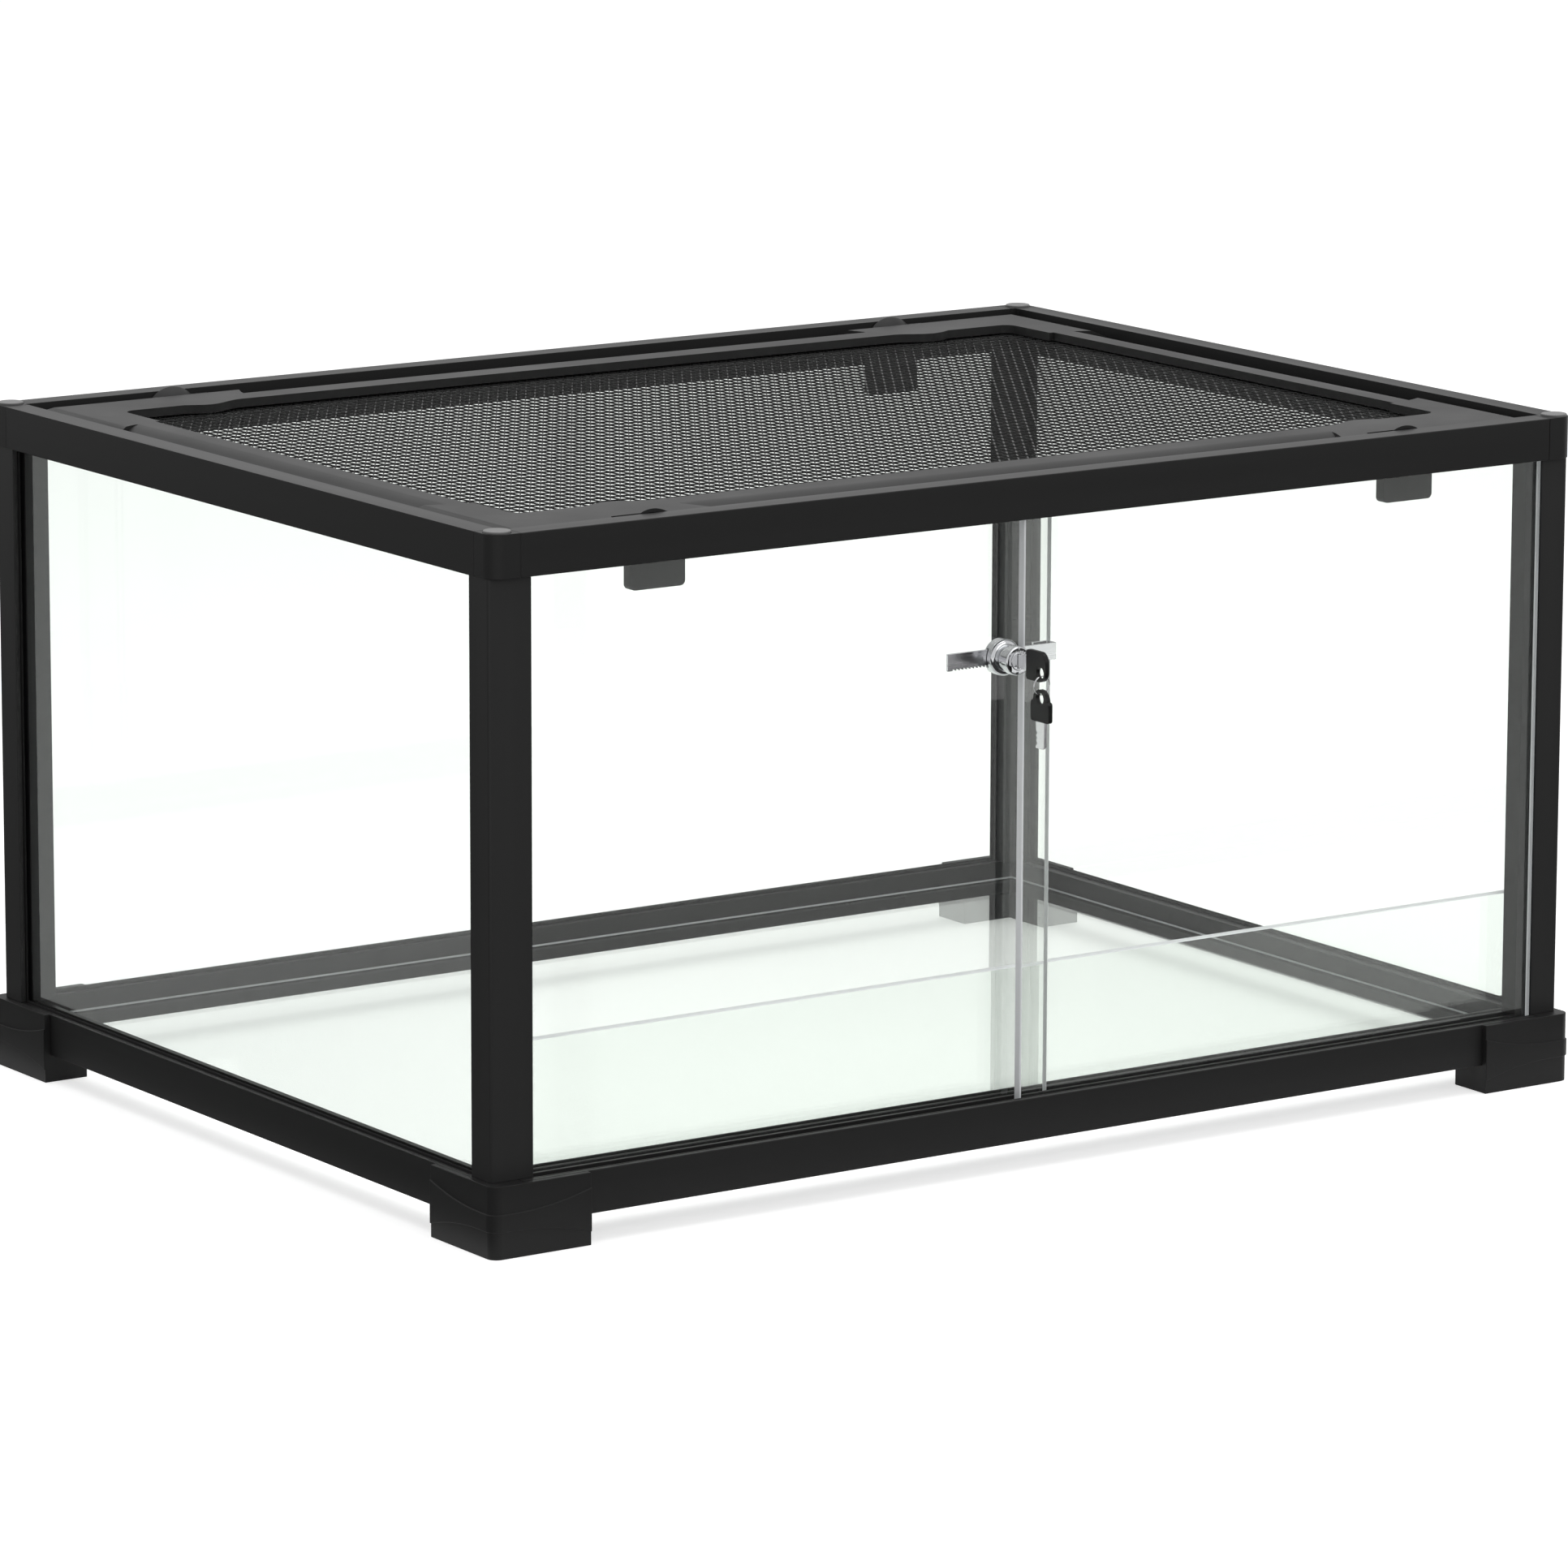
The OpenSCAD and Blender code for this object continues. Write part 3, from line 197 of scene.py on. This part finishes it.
def surface_grain_group():
    """Grain of a skin: a fine height for the bump, and slow patches, drawn out along Stretch's low axis."""
    group = bpy.data.node_groups.new("surface_grain", "ShaderNodeTree")
    group.interface.new_socket("Scale", in_out="INPUT", socket_type="NodeSocketFloat")
    group.interface.new_socket("Patch Scale", in_out="INPUT", socket_type="NodeSocketFloat")
    group.interface.new_socket("Stretch", in_out="INPUT", socket_type="NodeSocketVector")
    group.interface.new_socket("Height", in_out="OUTPUT", socket_type="NodeSocketFloat")
    group.interface.new_socket("Patches", in_out="OUTPUT", socket_type="NodeSocketFloat")
    entry = group.nodes.new("NodeGroupInput")
    leave = group.nodes.new("NodeGroupOutput")
    place = group.nodes.new("ShaderNodeTexCoord")
    drawn = group.nodes.new("ShaderNodeVectorMath")
    drawn.operation = "MULTIPLY"
    grain = group.nodes.new("ShaderNodeTexNoise")
    grain.inputs["Detail"].default_value = 1
    grain.inputs["Roughness"].default_value = 0.5
    patches = group.nodes.new("ShaderNodeTexNoise")
    patches.inputs["Detail"].default_value = 4
    patches.inputs["Roughness"].default_value = 0.55
    group.links.new(place.outputs["Object"], drawn.inputs[0])
    group.links.new(entry.outputs["Stretch"], drawn.inputs[1])
    group.links.new(drawn.outputs["Vector"], grain.inputs["Vector"])
    group.links.new(drawn.outputs["Vector"], patches.inputs["Vector"])
    group.links.new(entry.outputs["Scale"], grain.inputs["Scale"])
    group.links.new(entry.outputs["Patch Scale"], patches.inputs["Scale"])
    group.links.new(grain.outputs["Fac"], leave.inputs["Height"])
    group.links.new(patches.outputs["Fac"], leave.inputs["Patches"])
    return group


surface_grain = surface_grain_group()


def grained_finish(name, dark, light, smooth, rough, grain, bump, patch=14.0, stretch=(1, 1, 1)):
    """A coated, moulded or rolled finish: two close tones, a range of gloss and the bump of its grain."""
    finish = bpy.data.materials.new(name)
    finish.use_nodes = True
    tree = finish.node_tree
    shader = tree.nodes["Principled BSDF"]
    texture = tree.nodes.new("ShaderNodeGroup")
    texture.node_tree = surface_grain
    texture.inputs["Scale"].default_value = grain
    texture.inputs["Patch Scale"].default_value = patch
    texture.inputs["Stretch"].default_value = stretch
    tones = tree.nodes.new("ShaderNodeMix")
    tones.data_type = "RGBA"
    tones.inputs["A"].default_value = (*dark, 1)
    tones.inputs["B"].default_value = (*light, 1)
    gloss = tree.nodes.new("ShaderNodeMapRange")
    gloss.inputs["From Min"].default_value = 0.3
    gloss.inputs["From Max"].default_value = 0.7
    gloss.inputs["To Min"].default_value = smooth
    gloss.inputs["To Max"].default_value = rough
    relief = tree.nodes.new("ShaderNodeBump")
    relief.inputs["Strength"].default_value = bump
    relief.inputs["Distance"].default_value = 0.00002
    tree.links.new(texture.outputs["Patches"], tones.inputs["Factor"])
    tree.links.new(tones.outputs["Result"], shader.inputs["Base Color"])
    tree.links.new(texture.outputs["Patches"], gloss.inputs["Value"])
    tree.links.new(gloss.outputs["Result"], shader.inputs["Roughness"])
    tree.links.new(texture.outputs["Height"], relief.inputs["Height"])
    tree.links.new(relief.outputs["Normal"], shader.inputs["Normal"])
    return finish


def black_finish(name, dark, light, smooth, rough, grain, bump, patch=14.0, stretch=(1, 1, 1)):
    """A grained finish that mirrors little, as matt black plastic and coats do."""
    finish = grained_finish(name, (dark,) * 3, (light,) * 3, smooth, rough, grain, bump, patch, stretch)
    finish.node_tree.nodes["Principled BSDF"].inputs["Specular IOR Level"].default_value = 0.18
    return finish


same_point = 0.000002
flat_angle = math.radians(0.5)
sharp_angle = math.radians(32)


def joined_form(node, merge=same_point):
    """The CAD piece as a new form, with points nearer than merge made one and flat faces made whole."""
    form = bmesh.new()
    form.from_mesh(frame["nodes"][node].data)
    bmesh.ops.remove_doubles(form, verts=form.verts, dist=merge)
    bmesh.ops.dissolve_limit(form, angle_limit=flat_angle, verts=form.verts, edges=form.edges)
    return form


def placed_piece(node, form, finishes):
    """Makes a form the piece that is shown for a CAD node, on that node's body."""
    mesh = bpy.data.meshes.new(node + "_form")
    form.to_mesh(mesh)
    form.free()
    for finish in finishes:
        mesh.materials.append(finish)
    piece = bpy.data.objects.new(node + "_form", mesh)
    scene.collection.objects.link(piece)
    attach(piece, node_body[node])
    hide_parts(node)
    return piece


def round_edges(piece, edge, steps):
    """Rounds a piece's sharp edges and joins the points that the rounding brings together."""
    rounding = piece.modifiers.new("rounded_edges", "BEVEL")
    rounding.width = edge
    rounding.segments = steps
    rounding.limit_method = "ANGLE"
    rounding.angle_limit = sharp_angle
    piece.modifiers.new("joined_points", "WELD").merge_threshold = 0.00001
    return rounding


def soft_edged(node, finish, edge, steps=2, merge=same_point):
    """A rigid piece with its edges rounded as those of the real one are."""
    form = joined_form(node, merge)
    for face in form.faces:
        face.smooth = True
    piece = placed_piece(node, form, [finish])
    round_edges(piece, edge, steps)
    piece.modifiers.new("flat_faces", "WEIGHTED_NORMAL").keep_sharp = True


corner_plastic = black_finish("corner_plastic", dark=0.0105, light=0.0135, smooth=0.46, rough=0.56,
                              grain=2400, bump=0.3)
for corner in corner_names:
    soft_edged("base_corner_" + corner, corner_plastic, edge=0.0003)

# Base rails and posts. Extruded aluminium lengths with a fine matt black coat, pushed on to the tenons of
# the corners. Drawing leaves long faint lines, so tone and gloss vary across a length more than along it.
# The front rail is the deep sill under the doors.
side_names = ("front", "back", "left", "right")


def drawn_black(name, dark, light, stretch):
    """The coat of a drawn length: its marks run along the axis on which stretch is low."""
    return black_finish(name, dark, light, smooth=0.4, rough=0.5, grain=1800, bump=0.25, patch=45,
                        stretch=stretch)


black_across = drawn_black("black_across", dark=0.0105, light=0.0145, stretch=(0.03, 1, 1))
# The side rails' copy of the coat is painted darker than the front and back rails' copy: painted shade.
painted_shade_black_deep = drawn_black("painted_shade_black_deep", dark=0.0095, light=0.013, stretch=(1, 0.03, 1))
# The posts' copy of the coat is painted lighter than the rails' copies: painted light.
painted_light_black_upright = drawn_black("painted_light_black_upright", dark=0.017, light=0.022, stretch=(1, 1, 0.03))
rail_finish = {"front": black_across, "back": black_across, "left": painted_shade_black_deep, "right": painted_shade_black_deep}
for side in side_names:
    soft_edged("base_rail_" + side, rail_finish[side], edge=0.0004)
for corner in corner_names:
    soft_edged("post_" + corner, painted_light_black_upright, edge=0.0004)

# Glazing. Clear float glass: three fixed panes, the floor panel and the low barrier behind the doors.
# The cut edges are ground and look pale, and the faces have the faint green of their iron and the
# thinnest film of wiping marks.


def clear_glass(name, tint, film):
    """Clear glass of a faint tint with a film of wiping marks, through which lamps shine."""
    glass = bpy.data.materials.new(name)
    glass.use_nodes = True
    tree = glass.node_tree
    shader = tree.nodes["Principled BSDF"]
    shader.inputs["Transmission Weight"].default_value = 1
    shader.inputs["IOR"].default_value = 1.5
    marks = tree.nodes.new("ShaderNodeGroup")
    marks.node_tree = surface_grain
    marks.inputs["Scale"].default_value = 160
    marks.inputs["Patch Scale"].default_value = 7
    marks.inputs["Stretch"].default_value = (1, 1, 0.4)
    tone = tree.nodes.new("ShaderNodeMix")
    tone.data_type = "RGBA"
    tone.inputs["A"].default_value = (*tint, 1)
    tone.inputs["B"].default_value = (*[min(1, value + 0.012) for value in tint], 1)
    haze = tree.nodes.new("ShaderNodeMapRange")
    haze.inputs["From Min"].default_value = 0.5
    haze.inputs["From Max"].default_value = 0.8
    haze.inputs["To Min"].default_value = 0
    haze.inputs["To Max"].default_value = film
    clear = tree.nodes.new("ShaderNodeBsdfTransparent")
    path = tree.nodes.new("ShaderNodeLightPath")
    choice = tree.nodes.new("ShaderNodeMixShader")
    out = tree.nodes["Material Output"]
    tree.links.new(marks.outputs["Patches"], tone.inputs["Factor"])
    tree.links.new(tone.outputs["Result"], shader.inputs["Base Color"])
    tree.links.new(marks.outputs["Patches"], haze.inputs["Value"])
    tree.links.new(haze.outputs["Result"], shader.inputs["Roughness"])
    tree.links.new(path.outputs["Is Shadow Ray"], choice.inputs["Fac"])
    tree.links.new(shader.outputs[0], choice.inputs[1])
    tree.links.new(clear.outputs[0], choice.inputs[2])
    tree.links.new(choice.outputs[0], out.inputs["Surface"])
    return glass


ground_edge = grained_finish("ground_edge", dark=(0.82, 0.84, 0.86), light=(0.9, 0.91, 0.93), smooth=0.45,
                             rough=0.6, grain=2600, bump=0.3, patch=60)


def glass_pane(node, glass, arris):
    """A pane with clear faces, ground edges and the narrow flat that is ground along each edge."""
    low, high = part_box(node)
    sizes = list(high - low)
    through = sizes.index(min(sizes))
    form = joined_form(node)
    for face in form.faces:
        face.material_index = 0 if abs(face.normal[through]) > 0.5 else 1
    piece = placed_piece(node, form, [glass, ground_edge])
    round_edges(piece, arris, 1).material = 1


pane_glass = clear_glass("pane_glass", tint=(0.905, 0.93, 0.91), film=0.02)
for pane in ("glass_left", "glass_right", "glass_back", "floor_panel", "front_barrier"):
    glass_pane(pane, pane_glass, arris=0.0004)

# Gaskets. Black rubber channel, cut to length and pressed over the edges of each fixed pane before the
# pane goes into the frame. The rubber is matt, with the faint bloom of a moulding.
gasket_rubber = black_finish("gasket_rubber", dark=0.006, light=0.01, smooth=0.6, rough=0.75, grain=2000,
                             bump=0.2)
for side in ("left", "right", "back"):
    soft_edged("gasket_" + side, gasket_rubber, edge=0.0002, steps=1)

# Door tracks and ledges. Extruded black plastic: two double-grooved tracks, one pressed into the sill and
# one under the front top rail, and four strips on the inside of the top rails that carry the screen.
track_plastic = black_finish("track_plastic", dark=0.009, light=0.0125, smooth=0.4, rough=0.5, grain=1800,
                             bump=0.25, patch=45, stretch=(0.05, 1, 1))
for track in ("lower_door_track", "upper_door_track"):
    soft_edged(track, track_plastic, edge=0.0002, steps=1)
for side in side_names:
    soft_edged("screen_ledge_" + side, track_plastic, edge=0.0003)

# Top rails. The same black lengths as below, pushed on to the tenons of the top corners. Their upper faces
# stand a little higher than the screen's frame, which lies between them.
for side in side_names:
    soft_edged("top_rail_" + side, rail_finish[side], edge=0.0005)

# Top corners. Black mouldings that join two top rails and a post, screwed down into the post.
# A round grey cap of softer plastic is pressed over each zinc-plated screw.
for corner in corner_names:
    soft_edged("top_corner_" + corner, corner_plastic, edge=0.0003)
cap_grey = grained_finish("cap_grey", dark=(0.1, 0.1, 0.1), light=(0.125, 0.125, 0.125), smooth=0.42,
                          rough=0.5, grain=2400, bump=0.3)
soft_edged("corner_caps", cap_grey, edge=0.0002)
screw_zinc = grained_finish("screw_zinc", dark=(0.42, 0.42, 0.43), light=(0.56, 0.56, 0.58), smooth=0.3,
                            rough=0.45, grain=2400, bump=0.2)
screw_zinc.node_tree.nodes["Principled BSDF"].inputs["Metallic"].default_value = 1
for screws in ("corner_screws", "foot_screws"):
    soft_edged(screws, screw_zinc, edge=0.0002)

# Doors. Two panes of clear float glass that slide in the tracks, the left one behind the right one.
# Their edges are ground all round, because a hand takes hold of them.
door_glass = clear_glass("door_glass", tint=(0.91, 0.93, 0.91), film=0.015)
for door in ("door_left", "door_right"):
    glass_pane(door, door_glass, arris=0.0005)

# Lock. A chromed die-cast drum on the edge of the right door, with a turned plug for the key.
# It grips a notched bar of rolled steel that hooks round the edge of the left door.


def bright_metal(name, dark, light, smooth, rough, stretch):
    """Plated or rolled metal with fine marks along its length."""
    metal = grained_finish(name, dark, light, smooth, rough, grain=1600, bump=0.08, patch=240, stretch=stretch)
    metal.node_tree.nodes["Principled BSDF"].inputs["Metallic"].default_value = 1
    return metal


lock_chrome = bright_metal("lock_chrome", dark=(0.46, 0.47, 0.48), light=(0.58, 0.59, 0.6), smooth=0.04,
                           rough=0.1, stretch=(1, 1, 1))
for part in ("lock_body", "lock_plug"):
    soft_edged(part, lock_chrome, edge=0.00025, steps=3, merge=0.00003)
bar_steel = bright_metal("bar_steel", dark=(0.5, 0.5, 0.52), light=(0.72, 0.72, 0.74), smooth=0.14, rough=0.3,
                         stretch=(0.08, 1, 4))
soft_edged("lock_bar", bar_steel, edge=0.0002)

# Keys. Two flat steel blades with filed nicks in glossy black heads, one in the plug and one spare.
# They hang on a split ring: two turns of thin spring wire.
blade_steel = bright_metal("blade_steel", dark=(0.5, 0.5, 0.51), light=(0.7, 0.7, 0.71), smooth=0.12,
                           rough=0.28, stretch=(1, 0.1, 1))
for blade in ("key_blade", "spare_key_blade"):
    soft_edged(blade, blade_steel, edge=0.00015)
key_black = black_finish("key_black", dark=0.006, light=0.009, smooth=0.2, rough=0.32, grain=1500, bump=0.1)
for head in ("key_head", "spare_key_head"):
    soft_edged(head, key_black, edge=0.0006, steps=3)


def wire_tube(points, radius, sides):
    """Corners and faces of a round wire along points, with flat ends."""
    corners = []
    faces = []
    for i, point in enumerate(points):
        ahead = (points[min(i + 1, len(points) - 1)] - points[max(i - 1, 0)]).normalized()
        across = ahead.cross(Vector((0, 1, 0)) if abs(ahead.y) < 0.9 else Vector((1, 0, 0))).normalized()
        above = ahead.cross(across)
        for k in range(sides):
            angle = 2 * math.pi * k / sides
            corners.append(point + radius * (math.cos(angle) * across + math.sin(angle) * above))
    for i in range(len(points) - 1):
        for k in range(sides):
            nearby = (k + 1) % sides
            faces.append((i * sides + k, i * sides + nearby, (i + 1) * sides + nearby, (i + 1) * sides + k))
    faces.append(tuple(range(sides)))
    faces.append(tuple((len(points) - 1) * sides + k for k in reversed(range(sides))))
    return corners, faces


def wire_piece(node, tubes, finish):
    """Round wires as the one piece that is shown for a CAD node."""
    corners = []
    faces = []
    for tube_corners, tube_faces in tubes:
        start = len(corners)
        corners += tube_corners
        faces += [tuple(start + index for index in face) for face in tube_faces]
    mesh = bpy.data.meshes.new(node + "_form")
    mesh.from_pydata(corners, [], faces)
    mesh.polygons.foreach_set("use_smooth", [True] * len(mesh.polygons))
    mesh.materials.append(finish)
    mesh.update()
    piece = bpy.data.objects.new(node + "_form", mesh)
    scene.collection.objects.link(piece)
    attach(piece, node_body[node])
    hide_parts(node)


ring_low, ring_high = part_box("key_ring")
ring_middle = (ring_low + ring_high) / 2
ring_wire = 0.0002
ring_wire_sides = 8
ring_span = 0.00084
ring_inset = 0.0006
ring_radius = (ring_high.x - ring_low.x) / 2 - ring_inset
ring_turns = 2
ring_steps = 72
ring_path = []
for i in range(ring_turns * ring_steps + 1):
    share = i / (ring_turns * ring_steps)
    angle = 2 * math.pi * ring_turns * share
    ring_path.append(ring_middle + Vector((ring_radius * math.cos(angle), ring_span * (share - 0.5),
                                           ring_radius * math.sin(angle))))
wire_piece("key_ring", [wire_tube(ring_path, ring_wire, ring_wire_sides)], blade_steel)

# Screen frame. One black injection moulding that drops into the top rails, with flat corner pads, hollowed
# sides and a slide for each finger clip. Its rim slopes down to the rails all round, least at the front,
# and four strips pressed in underneath clamp the edge of the mesh.
screen_plastic = black_finish("screen_plastic", dark=0.013, light=0.018, smooth=0.44, rough=0.54, grain=2400,
                              bump=0.3)
rim_width = 0.0095
front_rim_width = 0.0045
rim_slope = 0.44
frame_edge = 0.0003
frame_merge = 0.0003
short_edge = 0.0015
frame_form = joined_form("screen_frame")
frame_low, frame_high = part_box("screen_frame")
for axis, sign, rim, width in ((0, -1, frame_low, rim_width), (0, 1, frame_high, rim_width),
                               (1, -1, frame_low, front_rim_width), (1, 1, frame_high, rim_width)):
    slope_foot = Vector((0, 0, frame_high.z - rim_slope * width))
    slope_foot[axis] = rim[axis]
    slope_normal = Vector((0, 0, 1))
    slope_normal[axis] = sign * rim_slope
    whole = frame_form.verts[:] + frame_form.edges[:] + frame_form.faces[:]
    cut = bmesh.ops.bisect_plane(frame_form, geom=whole, plane_co=slope_foot, plane_no=slope_normal,
                                 clear_outer=True)
    cut_edges = [part for part in cut["geom_cut"] if isinstance(part, bmesh.types.BMEdge)]
    bmesh.ops.triangle_fill(frame_form, use_beauty=True, use_dissolve=True, edges=cut_edges)
bmesh.ops.remove_doubles(frame_form, verts=frame_form.verts, dist=frame_merge)
bmesh.ops.dissolve_limit(frame_form, angle_limit=flat_angle, verts=frame_form.verts, edges=frame_form.edges)
bmesh.ops.recalc_face_normals(frame_form, faces=frame_form.faces)
long_sharp_edges = []
for edge in frame_form.edges:
    shortest = min(nearby.calc_length() for end in edge.verts for nearby in end.link_edges)
    if edge.calc_face_angle(0) > sharp_angle and shortest > short_edge:
        long_sharp_edges.append(edge)
bmesh.ops.bevel(frame_form, geom=long_sharp_edges, offset=frame_edge, offset_type="OFFSET", segments=2,
                profile=0.5, affect="EDGES", clamp_overlap=True)
for face in frame_form.faces:
    face.smooth = True
for edge in frame_form.edges:
    edge.smooth = edge.calc_face_angle(0) < sharp_angle
frame_piece = placed_piece("screen_frame", frame_form, [screen_plastic])
frame_piece.modifiers.new("flat_faces", "WEIGHTED_NORMAL").keep_sharp = True
soft_edged("mesh_strips", screen_plastic, edge=0.0002, steps=1)

# Finger clips. Four black mouldings that ride in the slides of the screen's frame. A finger in the hood
# presses the clip in towards the mesh, against its spring, and the screen lifts off.
for corner in corner_names:
    soft_edged("screen_clip_" + corner, screen_plastic, edge=0.0004, merge=0.00012)

# Mesh. Black coated steel wire, woven in diamonds and then rolled flat: half of the wires lean to the right
# and half to the left, and each goes over and under the ones that it crosses. The screen's frame and its
# strips clamp the edge.
cell_w = 0.0054
cell_d = 0.0083
mesh_wire = 0.00037
mesh_wire_sides = 6
weave_rise = 0.00025
mesh_low, mesh_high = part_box("mesh_right_wires")
mesh_middle = Vector(((mesh_low.x + mesh_high.x) / 2, (mesh_low.y + mesh_high.y) / 2, mesh_low.z))
mesh_half_w = (mesh_high.x - mesh_low.x) / 2 - mesh_wire
mesh_half_d = (mesh_high.y - mesh_low.y) / 2 - mesh_wire
wire_coat = black_finish("wire_coat", dark=0.005, light=0.008, smooth=0.28, rough=0.4, grain=2400, bump=0.2,
                         patch=40)
wire_coat.node_tree.nodes["Principled BSDF"].inputs["Specular IOR Level"].default_value = 0.12


def leaning_wires(side):
    """Wires that lean to one side, each with a point where it crosses a wire of the other side."""
    reach = int(mesh_half_w / cell_w + mesh_half_d / cell_d) + 1
    tubes = []
    for wire in range(-reach, reach + 1):
        points = []
        for other in range(-reach, reach + 1):
            across = (wire + other) / 2 * cell_w
            along = side * (other - wire) / 2 * cell_d
            if abs(across) <= mesh_half_w and abs(along) <= mesh_half_d:
                over = side if (wire + other) % 2 == 0 else -side
                points.append(mesh_middle + Vector((across, along, over * weave_rise)))
        if len(points) > 1:
            tubes.append(wire_tube(points, mesh_wire, mesh_wire_sides))
    return tubes


for mesh_node, mesh_side in (("mesh_right_wires", 1), ("mesh_left_wires", -1)):
    wire_piece(mesh_node, leaning_wires(mesh_side), wire_coat)
